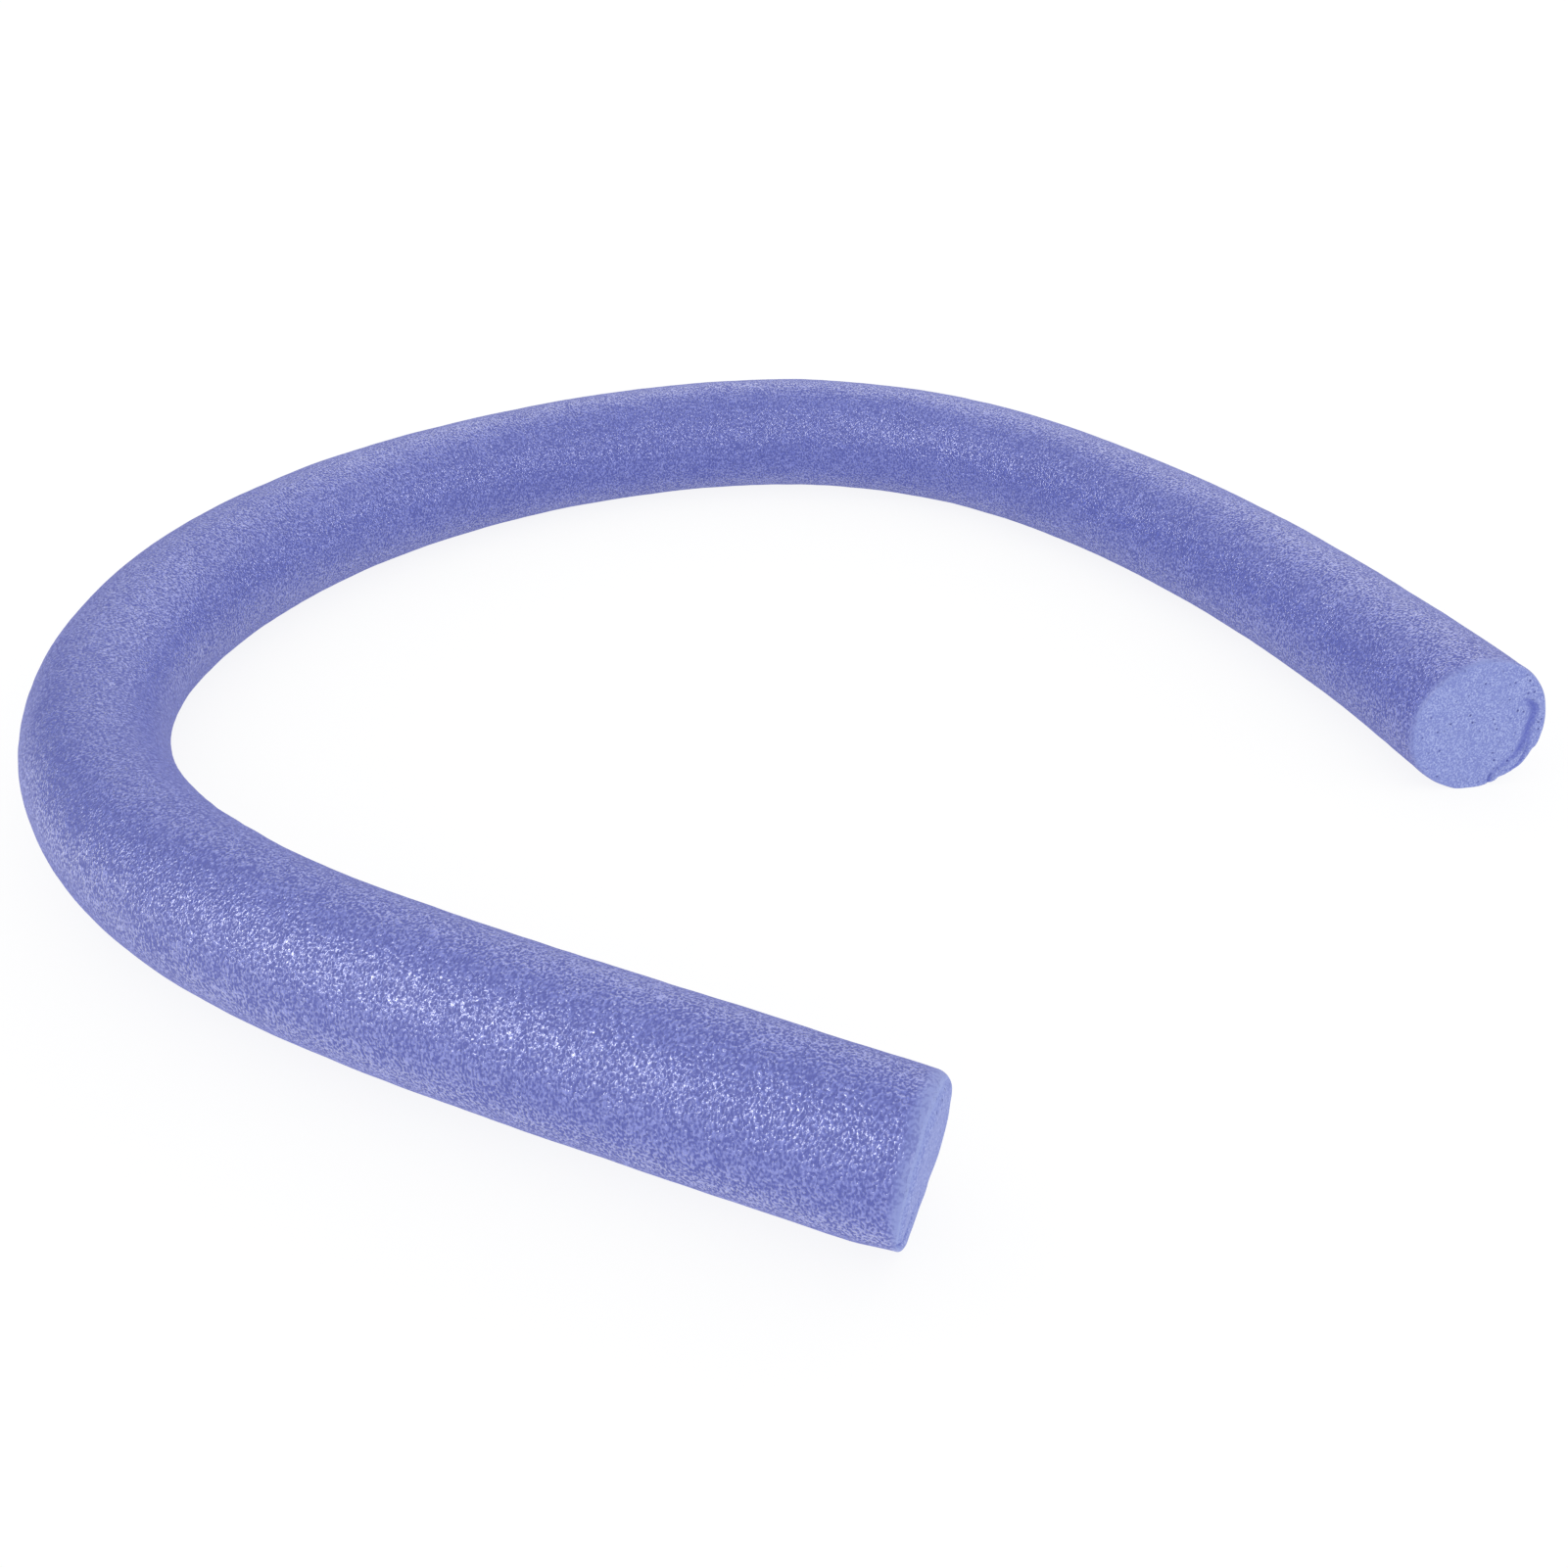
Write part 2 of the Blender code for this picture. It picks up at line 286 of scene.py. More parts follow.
def endRings(end):
    # (count of points, run in from the cut, reach from the middle, part, way from the skin's edge) for
    # each ring of one end, from its middle out
    rim, skinSteps, rimSteps = cutEnds[end + "Rim"], cutEnds[end + "SkinSteps"], cutEnds["rimSteps"]
    fineSides = cutEnds["fineSides"]
    flat = radius - rim
    rings = []
    edgeTurn = math.pi / 2 * (1 - skinSteps / rimSteps)
    faceRings = round(flat / cutEnds["faceStep"])
    for k in range(1, faceRings + 1):
        reach = flat * k / faceRings
        count = fineSides
        while count > cutEnds["fewestSides"] and reach < cutEnds["fineRadius"] * count / fineSides:
            count //= 2
        rings.append((count, 0, reach, "face", reach - flat - edgeTurn * rim))
    for k in range(1, rimSteps + 1):
        turn = math.pi / 2 * k / rimSteps
        part = "skin" if k > rimSteps - skinSteps else "rim"
        rings.append((fineSides, rim * (1 - math.cos(turn)), flat + rim * math.sin(turn), part,
                      (turn - edgeTurn) * rim))
    run = rim + noodle["ringStep"] / 2
    rings.append((fineSides // 2, run, radius, "skin", (math.pi / 2 - edgeTurn) * rim + run - rim))
    return rings


def allRings():
    front, back = endRings("front"), endRings("back")
    start = front[-1][1] + noodle["ringStep"] / 2
    end = length - back[-1][1] - noodle["ringStep"] / 2
    count = round((end - start) / noodle["ringStep"])
    side = [(noodle["sides"], run, radius, "skin", min(run, length - run))
            for run in (start + (end - start) * k / count for k in range(count + 1))]
    return front + side + [(n, length - run, reach, part, gap) for n, run, reach, part, gap in reversed(back)]


def roundAt(table, degrees):
    # a value from a table of (degrees round the face, value)
    for (degA, valueA), (degB, valueB) in zip(table, table[1:]):
        if degA <= degrees <= degB:
            return valueA + (valueB - valueA) * easeBetween(degA, degB, degrees)
    return table[-1][1]


def edgeShape(end, angle):
    # the worn edge's radius, the outline's share of a true round, and how far the edge stands out
    degrees = math.degrees(angle if end == "front" else math.pi - angle)
    degrees = (degrees + 180) % 360 - 180
    outlineShare = roundAt(cutEnds[end + "Outline"], degrees)
    if end == "back":
        return cutEnds["backRim"], outlineShare, 0
    low, high = cutEnds["frontRimBottom"], cutEnds["frontRimTop"]
    rim = low + (high - low) * (1 + math.sin(angle)) / 2
    return rim, outlineShare, roundAt(cutEnds["frontBulge"], degrees)


def shapePoint(ready, run, reach, angle, gap):
    # where a point of the plain rod ends up, its place on the unbent noodle, and how torn and worn it is
    end, facing, endRun = ("front", 1, run) if run < length / 2 else ("back", -1, length - run)
    rim = cutEnds[end + "Rim"]
    flat = radius - rim
    ownRim, outlineShare, bulge = edgeShape(end, angle)
    ownFlat = radius - ownRim
    if endRun <= rim:
        reach = reach * ownFlat / flat if reach <= flat else radius - (radius - reach) * ownRim / rim
        endRun *= ownRim / rim
    else:
        endRun += (ownRim - rim) * (1 - easeBetween(rim, rim + cutEnds["rimRun"], endRun))
    run = endRun if end == "front" else length - endRun
    girth = smoothAt(noodle["girthShares"], run / length)
    height = (radius - noodle["restingDepth"]) * girth
    right, rise = math.cos(angle), math.sin(angle)
    outward = reliefAt(run, radius * right, radius * rise, right, centreAt(run)[2])
    skinShare = easeBetween(cutEnds["reliefFrom"] * ownFlat, radius, reach)
    edgeShare = 1 - easeBetween(0, cutEnds[end + "OutlineRun"], endRun)
    trim = 1 + (outlineShare - 1) * skinShare * edgeShare
    out = reach * girth * trim + outward * skinShare
    across, up = out * right, out * rise
    faceShare = 1 - easeBetween(0, ownRim, endRun)
    inward, torn = 0, 0
    if faceShare > 0:
        inward, torn = tearAt(ready[end], across * facing, up)
        spot = Vector((across, up, length * facing)) / cutEnds["sawSize"]
        inward += cutEnds["sawHeight"] * noise.noise(spot)
        inward *= faceShare
        waver = noise.noise(Vector((right, rise, facing)) * cutEnds["waverPace"]) * cutEnds["waverHeight"]
        inward += waver * easeBetween(ownFlat * cutEnds["waverFrom"], radius, reach)
    slopes = cutEnds[end + "Slopes"]
    slant = -(slopes[0] * across + slopes[1] * up) * (1 - easeBetween(0, cutEnds["slantRun"], endRun))
    slant -= bulge * skinShare * edgeShare
    newRun = run + slant + inward * facing
    up = max(up, -height)
    place, heading, _ = centreAt(newRun)
    overSkin, overFace, strength = cutEnds[end + "Wear"]
    worn = strength * math.exp(-(gap / (overSkin if gap > 0 else overFace)) ** 2)
    point = (place.x + across * math.sin(heading), place.y - across * math.cos(heading), height + up)
    return point, (newRun, across, up), torn * faceShare, worn


def stitchRings(rings, starts):
    # faces between each two rings, whose counts match or differ twofold, and each face's material slot
    first, last = rings[0][0], rings[-1][0]
    faces = [(0, starts[0] + k, starts[0] + (k + 1) % first) for k in range(first)]
    slots = [1] * first
    for index in range(len(rings) - 1):
        (countA, _, _, partA, _), (countB, _, _, partB, _) = rings[index], rings[index + 1]
        a, b = starts[index], starts[index + 1]
        made = []
        for k in range(min(countA, countB)):
            if countA == countB:
                n = (k + 1) % countA
                made.append((a + k, b + k, b + n, a + n))
            elif countA > countB:
                middle, n, m = a + 2 * k + 1, a + (2 * k + 2) % countA, b + (k + 1) % countB
                made += [(a + 2 * k, b + k, middle), (middle, b + k, m), (middle, m, n)]
            else:
                middle, n, m = b + 2 * k + 1, a + (k + 1) % countA, b + (2 * k + 2) % countB
                made += [(a + k, b + 2 * k, middle), (a + k, middle, n), (n, middle, m)]
        faces += made
        slots += [0 if partA == partB == "skin" else 1] * len(made)
    end = starts[-1] + last
    faces += [(end, starts[-1] + (k + 1) % last, starts[-1] + k) for k in range(last)]
    return faces, slots + [1] * last


def makeNoodleMesh():
    rings = allRings()
    ready = {"front": readyTears("front"), "back": readyTears("back")}
    shaped, starts = [shapePoint(ready, 0, 0, 0, -radius)], []
    for count, run, reach, _, gap in rings:
        starts.append(len(shaped))
        shaped += [shapePoint(ready, run, reach, 2 * math.pi * k / count, gap) for k in range(count)]
    shaped.append(shapePoint(ready, length, 0, 0, -radius))
    points, unbent, torn, worn = zip(*shaped)
    faces, slots = stitchRings(rings, starts)
    print("noodle:", len(rings), "rings,", len(points), "points")

    mesh = bpy.data.meshes.new("pool_noodle")
    mesh.from_pydata(points, [], faces)
    mesh.polygons.foreach_set("material_index", slots)
    mesh.polygons.foreach_set("use_smooth", [True] * len(faces))
    flatUnbent = [value for place in unbent for value in place]
    mesh.attributes.new("unbent", "FLOAT_VECTOR", "POINT").data.foreach_set("vector", flatUnbent)
    mesh.attributes.new("torn", "FLOAT", "POINT").data.foreach_set("value", torn)
    mesh.attributes.new("worn", "FLOAT", "POINT").data.foreach_set("value", worn)
    mesh.update()
    return mesh


def addNode(tree, kind, inputs=None, **settings):
    node = tree.nodes.new(kind)
    for name, value in settings.items():
        setattr(node, name, value)
    for name, value in (inputs or {}).items():
        if isinstance(value, bpy.types.NodeSocket):
            tree.links.new(value, node.inputs[name])
        else:
            node.inputs[name].default_value = value
    return node


def addMath(tree, operation, a, b, clamp=False):
    return addNode(tree, "ShaderNodeMath", {0: a, 1: b}, operation=operation, use_clamp=clamp).outputs[0]


def addNoise(tree, place, scale, detail):
    return addNode(tree, "ShaderNodeTexNoise", {
        "Vector": place, "Scale": scale, "Detail": detail}).outputs


def cellDistance(tree, place, scale):
    return addNode(tree, "ShaderNodeTexVoronoi", {
        "Vector": place, "Scale": scale}, feature="F1").outputs["Distance"]


def mixColor(tree, share, under, over):
    return addNode(tree, "ShaderNodeMix", {0: share, 6: under, 7: over}, data_type="RGBA").outputs[2]


def mixValue(tree, share, under, over):
    return addNode(tree, "ShaderNodeMix", {0: share, 2: under, 3: over}).outputs[0]


def pointValue(tree, name):
    return addNode(tree, "ShaderNodeAttribute", attribute_name=name).outputs["Fac"]


def newGroup(name, inputs, outputs):
    # each input has its value to start with, or None where it is a place
    tree = bpy.data.node_groups.new(name, "ShaderNodeTree")
    for label, value in inputs.items():
        kind = "NodeSocketVector" if value is None else "NodeSocketFloat"
        socket = tree.interface.new_socket(label, in_out="INPUT", socket_type=kind)
        if value is not None:
            socket.default_value = value
    for label in outputs:
        tree.interface.new_socket(label, in_out="OUTPUT", socket_type="NodeSocketFloat")
    return tree, tree.nodes.new("NodeGroupInput").outputs, tree.nodes.new("NodeGroupOutput").inputs


def useGroup(tree, group, inputs):
    return addNode(tree, "ShaderNodeGroup", inputs, node_tree=group).outputs


# Foam effects, shared by the skin and the cut faces
foam = {
    "swirlScale": 0.8,  # of the crumpling, against a cell
    "bulgeShare": 0.4, "foldShare": 1.5,  # of the relief
    # the relief's level where crevices begin and are full, and where crests begin and are full
    "creviceLevels": (1.15, 0.85), "crestLevels": (1.15, 1.35),
    "rimFrom": 0.92, "rimShare": 0.8,  # the pale line along the very edge: wear where it begins, strength
    "rimColor": (0.300, 0.355, 0.660, 1),
}


def makeFoamGrain():
    # crumpled cells: small bulges with folds running over them
    tree, given, result = newGroup(
        "foamGrain",
        {"Place": None, "Cell Long": 0.0009, "Cell Round": 0.0012, "Crumple": 1.0, "Unevenness": 0.0},
        ("Height", "Crevice", "Crest"))
    cell = addNode(tree, "ShaderNodeCombineXYZ", {
        0: given["Cell Long"], 1: given["Cell Round"], 2: given["Cell Round"]}).outputs[0]
    scaled = addNode(tree, "ShaderNodeVectorMath", {
        0: given["Place"], 1: cell}, operation="DIVIDE").outputs[0]
    swirl = addNoise(tree, scaled, foam["swirlScale"], 1.0)["Color"]
    centred = addNode(tree, "ShaderNodeVectorMath", {
        0: swirl, 1: (0.5, 0.5, 0.5)}, operation="SUBTRACT").outputs[0]
    push = addNode(tree, "ShaderNodeVectorMath", {
        0: centred, "Scale": given["Crumple"]}, operation="SCALE").outputs[0]
    crumpled = addNode(tree, "ShaderNodeVectorMath", {0: scaled, 1: push}, operation="ADD").outputs[0]
    cells = cellDistance(tree, crumpled, 1.0)
    bulge = addMath(tree, "SUBTRACT", 1.0, addMath(tree, "MULTIPLY", cells, cells))
    folds = addNoise(tree, crumpled, 1.0, 0.0)["Fac"]
    height = addMath(tree, "ADD", addMath(tree, "MULTIPLY", bulge, foam["bulgeShare"]),
                     addMath(tree, "MULTIPLY", folds, foam["foldShare"]))
    tree.links.new(height, result["Height"])
    level = addMath(tree, "ADD", height, given["Unevenness"])
    for name, (start, full) in (("Crevice", foam["creviceLevels"]), ("Crest", foam["crestLevels"])):
        share = addNode(tree, "ShaderNodeMapRange", {"Value": level, "From Min": start, "From Max": full})
        tree.links.new(share.outputs[0], result[name])
    return tree


def makeFoamPatches():
    # soft patches, 0.5 on average
    tree, given, result = newGroup("foamPatches", {"Place": None, "Size": 0.008, "Contrast": 1.0}, ("Patch",))
    spots = addNoise(tree, given["Place"], addMath(tree, "DIVIDE", 1.0, given["Size"]), 2.0)["Fac"]
    raised = addMath(tree, "MULTIPLY", addMath(tree, "SUBTRACT", spots, 0.5), given["Contrast"])
    tree.links.new(addMath(tree, "ADD", raised, 0.5, clamp=True), result["Patch"])
    return tree


def makeFoamWear():
    # rubbed edges, more so on patches and less in crevices, and a pale line along the very edge
    tree, given, result = newGroup(
        "foamWear",
        {"Worn": 0.0, "Patch": 0.0, "Even Share": 1.0, "Crevice": 0.0, "Crevice Share": 1.0, "Full": 1.0},
        ("Rubbed", "Line"))
    patches = addMath(tree, "ADD", given["Patch"], given["Even Share"])
    onPatches = addMath(tree, "MULTIPLY", given["Worn"], patches)
    outside = addMath(tree, "SUBTRACT", given["Full"],
                      addMath(tree, "MULTIPLY", given["Crevice"], given["Crevice Share"]))
    tree.links.new(addMath(tree, "MULTIPLY", onPatches, outside, clamp=True), result["Rubbed"])
    line = addNode(tree, "ShaderNodeMapRange", {
        "Value": given["Worn"], "From Min": foam["rimFrom"], "To Max": foam["rimShare"]}).outputs[0]
    tree.links.new(line, result["Line"])
    return tree


foamGrain, foamPatches, foamWear = makeFoamGrain(), makeFoamPatches(), makeFoamWear()
print("foam effects made")


def setSurface(tree, shader, kind="ShaderNodeOutputMaterial"):
    tree.links.new(shader, tree.nodes.new(kind).inputs["Surface"])


def startMaterial(name):
    material = bpy.data.materials.new(name)
    material.use_nodes = True
    tree = material.node_tree
    tree.nodes.clear()
    shader = tree.nodes.new("ShaderNodeBsdfPrincipled")
    setSurface(tree, shader.outputs[0])
    place = addNode(tree, "ShaderNodeAttribute", attribute_name="unbent").outputs["Vector"]
    return material, tree, shader.inputs, place


def addPatches(tree, place, size, contrast):
    return useGroup(tree, foamPatches, {"Place": place, "Size": size, "Contrast": contrast})["Patch"]


# The skin: crinkled and a little glossy, with painted shade in its crevices, and crests painted paler, partly
# their own thinner foam and partly a painted highlight
skin = {
    # painted shade: the crevices are darkened for the shade that falls in them
    "creviceShadeColor": (0.053, 0.070, 0.368, 1),
    "color": (0.098, 0.124, 0.482, 1),
    # paler crests: partly the thinner foam's own tone, partly a painted highlight
    "crestToneAndHighlightColor": (0.158, 0.188, 0.588, 1),
    "cellLong": 0.00090, "cellRound": 0.00118, "crumple": 1.0,
    "crinkleHeight": 0.00036,
    "crinkleCalm": 0.75, "crinklePatches": 0.5,  # the relief's strength where calm, and what patches add
    "puckerSize": 0.0030, "puckerShare": 0.9,  # broader puckers, against the crinkle's height
    # patches with more crevices, and others with more crests
    "patchSize": 0.009, "patchContrast": 2.2, "patchUnevenness": 0.13,
    "driftSize": 0.060, "driftContrast": 1.5, "driftUnevenness": 0.10,
    "crestRoughness": 0.10, "creviceRoughness": 0.6, "grazingRoughness": 0.6,
    "grazingFrom": 0.40, "grazingFull": 0.95,  # where the skin turns away from the eye and loses its gloss
    "specular": 0.78,
    "wornColor": (0.200, 0.245, 0.572, 1), "wornRoughness": 0.55,  # rubbed along the cut edges
    "wornEven": 0.6,  # against the patches, which add up to 1
    "wornFull": 1.25, "wornCrevices": 0.5,  # strength outside the crevices, and what they take off it
    "wornSmoothing": 0.7,  # how much of the relief is rubbed away there
    "gloss": 0.7, "glossRoughness": 0.075,  # a thin shiny film on the crests
}


def makeSkin():
    material, tree, shader, place = startMaterial("foam_skin")
    patch = addPatches(tree, place, skin["patchSize"], skin["patchContrast"])
    drift = addPatches(tree, place, skin["driftSize"], skin["driftContrast"])
    patchy = addMath(tree, "MULTIPLY", addMath(tree, "SUBTRACT", patch, 0.5), skin["patchUnevenness"])
    drifting = addMath(tree, "MULTIPLY", addMath(tree, "SUBTRACT", drift, 0.5), skin["driftUnevenness"])
    grain = useGroup(tree, foamGrain, {
        "Place": place, "Cell Long": skin["cellLong"], "Cell Round": skin["cellRound"],
        "Crumple": skin["crumple"], "Unevenness": addMath(tree, "ADD", patchy, drifting)})
    wear = useGroup(tree, foamWear, {
        "Worn": pointValue(tree, "worn"), "Patch": patch, "Even Share": skin["wornEven"],
        "Crevice": grain["Crevice"], "Crevice Share": skin["wornCrevices"], "Full": skin["wornFull"]})
    rubbed = wear["Rubbed"]

    # painted shade in the crevices
    color = mixColor(tree, grain["Crevice"], skin["color"], skin["creviceShadeColor"])
    # crests painted paler: partly their own thinner foam, partly a painted highlight
    color = mixColor(tree, grain["Crest"], color, skin["crestToneAndHighlightColor"])
    color = mixColor(tree, rubbed, color, skin["wornColor"])
    color = mixColor(tree, wear["Line"], color, foam["rimColor"])
    tree.links.new(color, shader["Base Color"])

    facing = addNode(tree, "ShaderNodeLayerWeight", {"Blend": 0.5}).outputs["Facing"]
    grazing = addNode(tree, "ShaderNodeMapRange", {
        "Value": facing, "From Min": skin["grazingFrom"], "From Max": skin["grazingFull"]},
        interpolation_type="SMOOTHSTEP").outputs[0]
    rough = addNode(tree, "ShaderNodeMapRange", {
        "Value": grain["Crevice"], "To Min": skin["crestRoughness"],
        "To Max": skin["creviceRoughness"]}).outputs[0]
    rough = mixValue(tree, rubbed, rough, skin["wornRoughness"])
    rough = mixValue(tree, grazing, rough, skin["grazingRoughness"])
    tree.links.new(rough, shader["Roughness"])
    shader["Specular IOR Level"].default_value = skin["specular"]

    strength = addMath(tree, "MULTIPLY", patch, skin["crinklePatches"])
    strength = addMath(tree, "ADD", strength, skin["crinkleCalm"])
    puckers = addNoise(tree, place, 1 / skin["puckerSize"], 1.0)["Fac"]
    height = addMath(tree, "ADD", addMath(tree, "MULTIPLY", grain["Height"], strength),
                     addMath(tree, "MULTIPLY", puckers, skin["puckerShare"]))
    kept = addMath(tree, "SUBTRACT", 1.0, addMath(tree, "MULTIPLY", rubbed, skin["wornSmoothing"]))
    bump = addNode(tree, "ShaderNodeBump", {
        "Height": addMath(tree, "MULTIPLY", height, kept), "Strength": 1.0,
        "Distance": skin["crinkleHeight"]}).outputs[0]
    tree.links.new(bump, shader["Normal"])

    film = addMath(tree, "MULTIPLY", addMath(tree, "SUBTRACT", 1.0, grain["Crevice"]), skin["gloss"])
    for without in (rubbed, grazing):
        film = addMath(tree, "MULTIPLY", film, addMath(tree, "SUBTRACT", 1.0, without))
    tree.links.new(film, shader["Coat Weight"])
    tree.links.new(bump, shader["Coat Normal"])
    shader["Coat Roughness"].default_value = skin["glossRoughness"]
    return material


# The cut faces: open cells, matt and paler, with painted shade in the cell hollows and pores, painted shade
# with darker torn foam in the tears, and a painted highlight on the tears' raised lips
cutFoam = {
    # painted shade for the cell hollows
    "cellShadeColor": (0.190, 0.228, 0.555, 1),
    "color": (0.264, 0.313, 0.640, 1),
    # the cells' paler walls, and the painted highlight on the tears' raised lips
    "wallToneAndLipHighlight": (0.345, 0.400, 0.722, 1),
    "cell": 0.0008, "crumple": 1.2, "cellDepth": 0.00022,
    "patchSize": 0.006, "patchContrast": 1.8, "patchUnevenness": 0.22,
    # painted shade inside the pores
    "poreShadeColor": (0.060, 0.078, 0.320, 1),
    "poreSpacing": 0.0038, "poreShare": 0.19,
    "poreCore": 0.5,  # share of a pore that is darkest
    "porePatches": 1.6,  # patches decide how dark a pore gets
    # painted shade in the tears, partly darker torn foam
    "tornFoamAndShadeColor": (0.110, 0.138, 0.515, 1), "tornShadeShare": 0.75,
    "wornColor": (0.258, 0.310, 0.642, 1), "wornFull": 1.2,
    "roughness": 0.9,
}


def makeCutFoam():
    material, tree, shader, place = startMaterial("foam_cut")
    patch = addPatches(tree, place, cutFoam["patchSize"], cutFoam["patchContrast"])
    uneven = addMath(tree, "MULTIPLY", addMath(tree, "SUBTRACT", patch, 0.5), cutFoam["patchUnevenness"])
    grain = useGroup(tree, foamGrain, {
        "Place": place, "Cell Long": cutFoam["cell"], "Cell Round": cutFoam["cell"],
        "Crumple": cutFoam["crumple"], "Unevenness": uneven})
    wear = useGroup(tree, foamWear, {
        "Worn": pointValue(tree, "worn"), "Crevice": grain["Crevice"], "Full": cutFoam["wornFull"]})
    # the pores get painted shade, darker on some patches
    pores = cellDistance(tree, place, 1 / cutFoam["poreSpacing"])
    hole = addNode(tree, "ShaderNodeMapRange", {
        "Value": pores, "From Min": cutFoam["poreShare"],
        "From Max": cutFoam["poreShare"] * cutFoam["poreCore"]}).outputs[0]
    dark = addMath(tree, "MULTIPLY", patch, cutFoam["porePatches"], clamp=True)
    deep = addMath(tree, "MULTIPLY", hole, dark)
    torn = pointValue(tree, "torn")  # 1 in a tear, for its painted shade; below 0 on a raised lip, for its painted highlight
    # painted shade in the tear, with its darker torn foam
    tearFoamAndShade = addMath(tree, "MULTIPLY", torn, cutFoam["tornShadeShare"], clamp=True)
    # painted highlight on a tear's raised lip
    paintedLipHighlight = addMath(tree, "MULTIPLY", torn, -1.0, clamp=True)

    # painted shade in the cell hollows
    color = mixColor(tree, grain["Crevice"], cutFoam["color"], cutFoam["cellShadeColor"])
    for share, over in ((grain["Crest"], cutFoam["wallToneAndLipHighlight"]), (deep, cutFoam["poreShadeColor"]),
                        (wear["Rubbed"], cutFoam["wornColor"]), (wear["Line"], foam["rimColor"]),
                        (tearFoamAndShade, cutFoam["tornFoamAndShadeColor"]), (paintedLipHighlight, cutFoam["wallToneAndLipHighlight"])):
        color = mixColor(tree, share, color, over)
    tree.links.new(color, shader["Base Color"])

    height = addMath(tree, "SUBTRACT", grain["Height"], deep)
    bump = addNode(tree, "ShaderNodeBump", {
        "Height": height, "Strength": 1.0, "Distance": cutFoam["cellDepth"]}).outputs[0]
    tree.links.new(bump, shader["Normal"])
    shader["Roughness"].default_value = cutFoam["roughness"]
    return material


def dressNoodle():
    piece = bpy.data.objects.new("pool_noodle", makeNoodleMesh())
    bpy.context.scene.collection.objects.link(piece)
    piece.data.materials.append(makeSkin())
    piece.data.materials.append(makeCutFoam())
    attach(piece, "root")
    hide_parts("foam_noodle")
    print("noodle dressed:", sum(len(p.vertices) - 2 for p in piece.data.polygons), "triangles")


dressNoodle()


# The surround and the floor light the foam; the softboxes, cards and flag only show in its shine
studio = {
    "floorSide": 14.0,
    "floorLight": 0.5, "floorGlow": 0.6,  # how much light the floor gives back to the noodle, and of its own
    "shadowShare": 0.12,  # how much of the noodle's shadow the camera sees
    "surround": 1.1,
    "boxes": (
        # name, direction from the noodle (degrees round from the viewer, up), distance, width, height,
        # brightness
        ("left_softbox", -59, 36, 1.6, 0.38, 1.25, 9.5),
        ("right_softbox", 92, 22, 1.6, 0.40, 0.40, 10.0),
        ("front_softbox", 38, 16, 1.6, 0.40, 0.40, 9.0),
        ("low_softbox", -42, 7, 1.8, 1.20, 0.40, 1.2),
        ("back_softbox", 166, 28, 2.2, 2.2, 1.6, 0.7),
    ),
    "cards": (
        # name, middle on the floor, length, width, turned (degrees), brightness
        ("front_card", (-0.236, -0.413), 0.80, 0.40, 156.2, 0.28),
        ("left_card", (-0.420, 0.060), 0.16, 0.50, 0, 0.55),
    ),
    "cardHeight": 0.0005,
    # a grey flag that the outer side of the left bend shows in its shine
    "flag": {"around": -112, "up": 10, "distance": 1.1, "width": 0.80, "height": 0.50, "grey": 0.15},
}
squareCorners = ((-1, -1), (1, -1), (1, 1), (-1, 1))


def addPanel(name, corners):
    mesh = bpy.data.meshes.new(name)
    mesh.from_pydata(corners, [], [(0, 1, 2, 3)])
    panel = bpy.data.objects.new(name, mesh)
    bpy.context.scene.collection.objects.link(panel)
    material = bpy.data.materials.new(name)
    material.use_nodes = True
    material.node_tree.nodes.clear()
    mesh.materials.append(material)
    return panel, material.node_tree


def seenRays(tree):
    # 1 for what the camera sees, straight or in the shine, and 0 for the light that falls on the foam
    rays = tree.nodes.new("ShaderNodeLightPath").outputs
    mirrored = addMath(tree, "MAXIMUM", rays["Is Glossy Ray"], rays["Is Transmission Ray"])
    return addMath(tree, "MAXIMUM", rays["Is Camera Ray"], mirrored)


def litAndGlowing(tree, lit, glow):
    bounce = addNode(tree, "ShaderNodeBsdfDiffuse", {"Color": (lit, lit, lit, 1)}).outputs[0]
    own = addNode(tree, "ShaderNodeEmission", {"Strength": glow}).outputs[0]
    return addNode(tree, "ShaderNodeAddShader", {0: bounce, 1: own}).outputs[0]


def makeFloor():
    half = studio["floorSide"] / 2
    floor, tree = addPanel("studio_floor", [(x * half, y * half, 0) for x, y in squareCorners])
    light = litAndGlowing(tree, studio["floorLight"], studio["floorGlow"])
    shown = litAndGlowing(tree, studio["shadowShare"], 1 - studio["shadowShare"])
    setSurface(tree, addNode(tree, "ShaderNodeMixShader", {0: seenRays(tree), 1: light, 2: shown}).outputs[0])
    print("floor laid")


def makeSurround():
    world = bpy.data.worlds.new("studio_surround")
    world.use_nodes = True
    bpy.context.scene.world = world
    tree = world.node_tree
    tree.nodes.clear()
    soft, white = [
        addNode(tree, "ShaderNodeBackground", {"Color": (1, 1, 1, 1), "Strength": level}).outputs[0]
        for level in (studio["surround"], 1.0)]
    both = addNode(tree, "ShaderNodeMixShader", {0: seenRays(tree), 1: soft, 2: white}).outputs[0]
    setSurface(tree, both, "ShaderNodeOutputWorld")
    print("surround lit")


def directionOut(around, up):
    # from the noodle, degrees round from the viewer and up
    turned, raised = math.radians(around), math.radians(up)
    return Vector((math.sin(turned) * math.cos(raised), -math.cos(turned) * math.cos(raised), math.sin(raised)))


def facingBack(out):
    return (-out).to_track_quat("-Z", "Y")


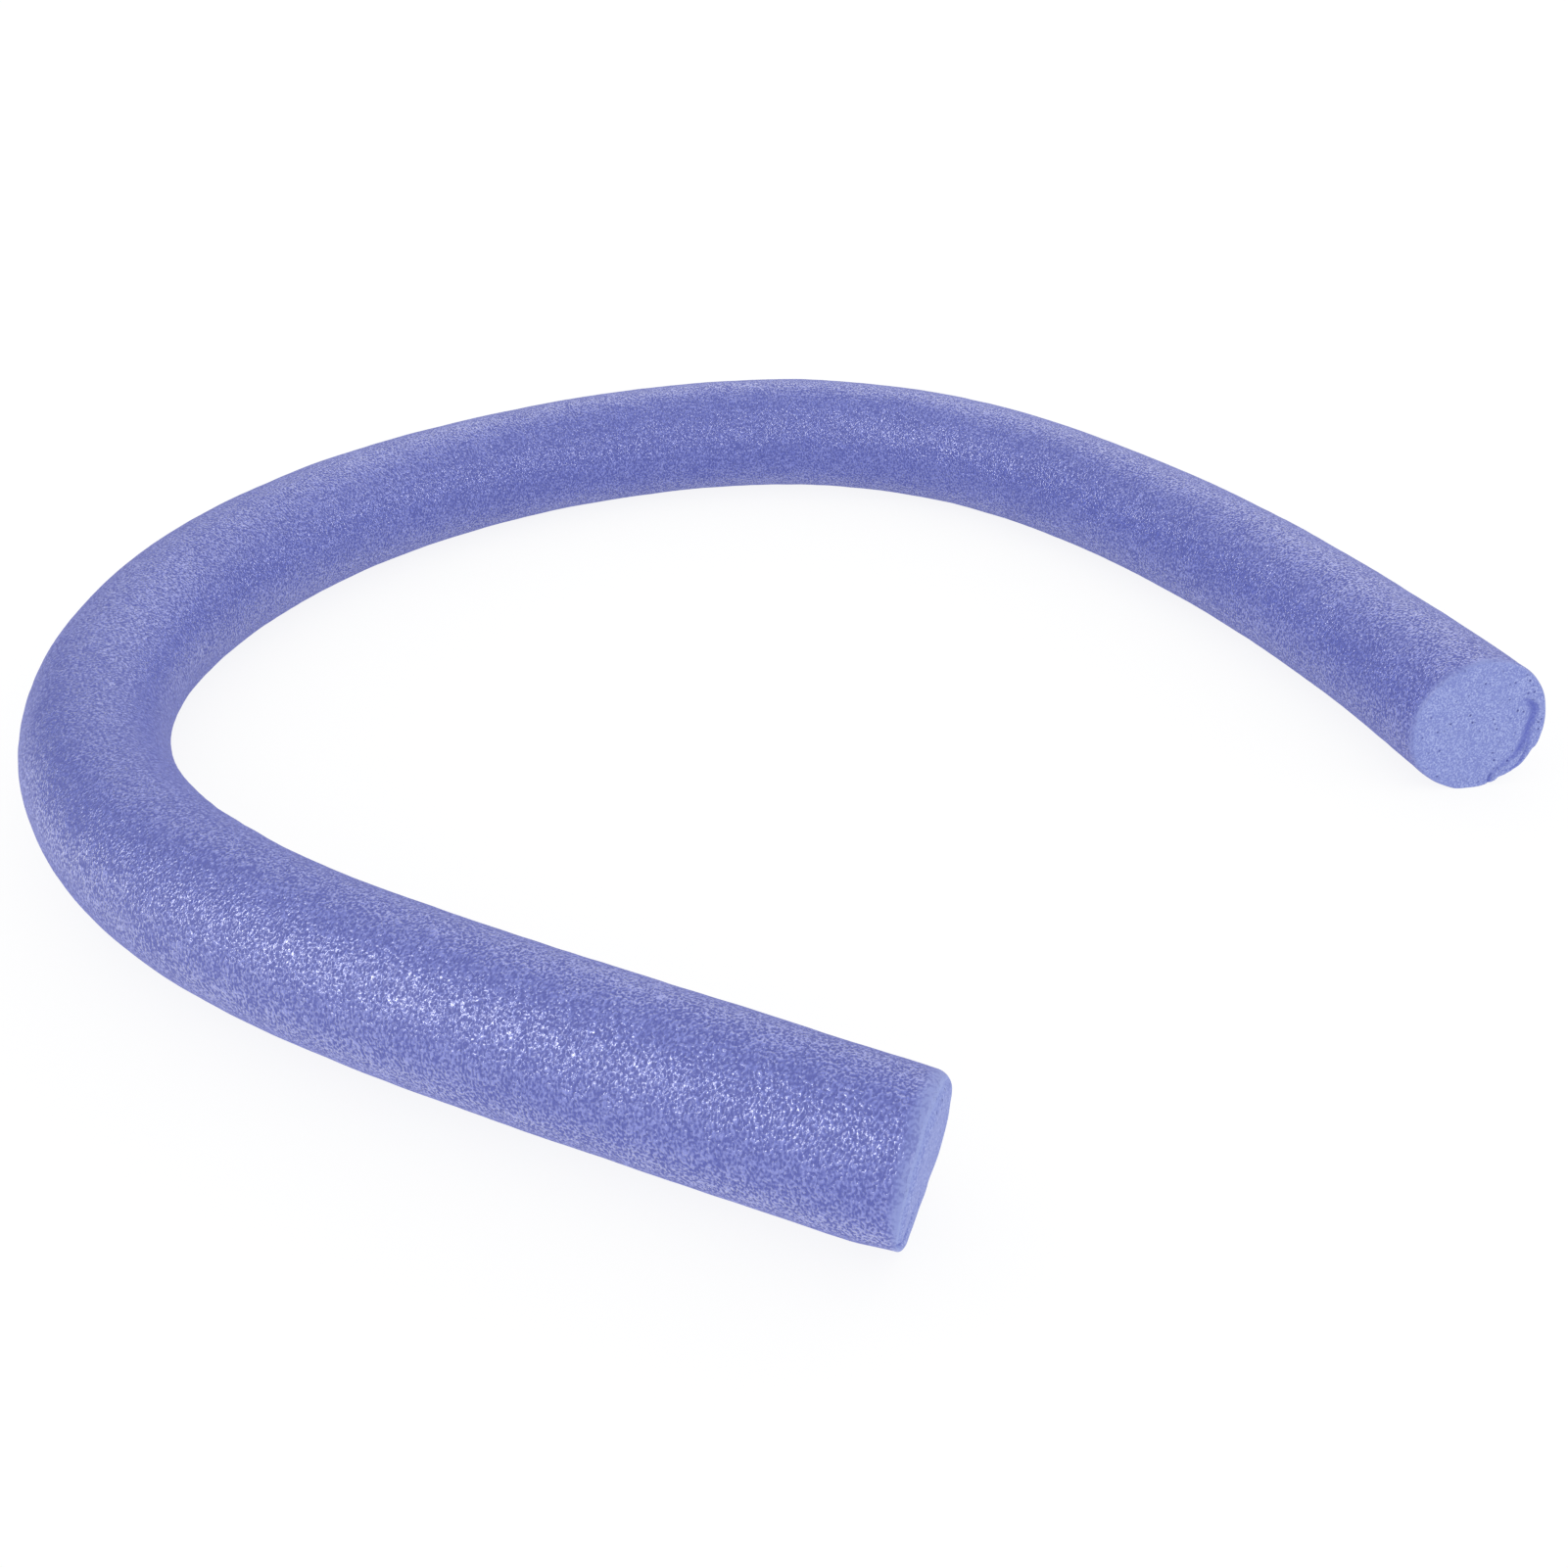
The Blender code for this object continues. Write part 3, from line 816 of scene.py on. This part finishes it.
def addLamp(name, width, height, brightness):
    light = bpy.data.lights.new(name, "AREA")
    light.shape = "RECTANGLE"
    light.size, light.size_y = width, height
    light.energy = brightness * math.pi * width * height
    lamp = bpy.data.objects.new(name, light)
    lamp.visible_camera = lamp.visible_diffuse = False
    bpy.context.scene.collection.objects.link(lamp)
    return lamp


def makeLamps():
    low, high = cadBox
    middle = (low + high) / 2
    for name, around, up, distance, width, height, brightness in studio["boxes"]:
        out = directionOut(around, up)
        lamp = addLamp(name, width, height, brightness)
        lamp.location = middle + out * distance
        lamp.rotation_mode = "QUATERNION"
        lamp.rotation_quaternion = facingBack(out)
    for name, (x, y), along, width, turned, brightness in studio["cards"]:
        lamp = addLamp(name, along, width, brightness)
        lamp.location = (x, y, studio["cardHeight"])
        lamp.rotation_euler = (math.pi, 0, math.radians(turned))
    print("lamps set:", len(studio["boxes"]), "softboxes and", len(studio["cards"]), "cards on the floor")


def makeFlag():
    flag = studio["flag"]
    out = directionOut(flag["around"], flag["up"])
    turn = facingBack(out)
    corners = [turn @ Vector((flag["width"] / 2 * x, flag["height"] / 2 * y, 0)) for x, y in squareCorners]
    panel, tree = addPanel("studio_flag", [corner + out * flag["distance"] for corner in corners])
    setSurface(tree, addNode(tree, "ShaderNodeEmission", {"Strength": flag["grey"]}).outputs[0])
    panel.visible_camera = panel.visible_diffuse = panel.visible_shadow = False
    print("flag set")


# The camera, in front of the noodle and looking down on it
viewer = {
    "place": (0.00131, -0.72451, 0.42185),
    "down": 31.90351,  # degrees below level
    "lens": 40.475, "sensor": 36.0,  # millimetres
    "nearest": 0.01, "furthest": 50,
}


def makeCamera():
    camera = bpy.data.cameras.new("viewer")
    camera.sensor_width = viewer["sensor"]
    camera.lens = viewer["lens"]
    camera.clip_start, camera.clip_end = viewer["nearest"], viewer["furthest"]
    eye = bpy.data.objects.new("viewer", camera)
    eye.location = viewer["place"]
    eye.rotation_euler = (math.radians(90 - viewer["down"]), 0, 0)
    bpy.context.scene.collection.objects.link(eye)
    bpy.context.scene.camera = eye
    print("camera set")


makeFloor()
makeSurround()
makeLamps()
makeFlag()
makeCamera()
bpy.context.scene.view_settings.view_transform = "Standard"
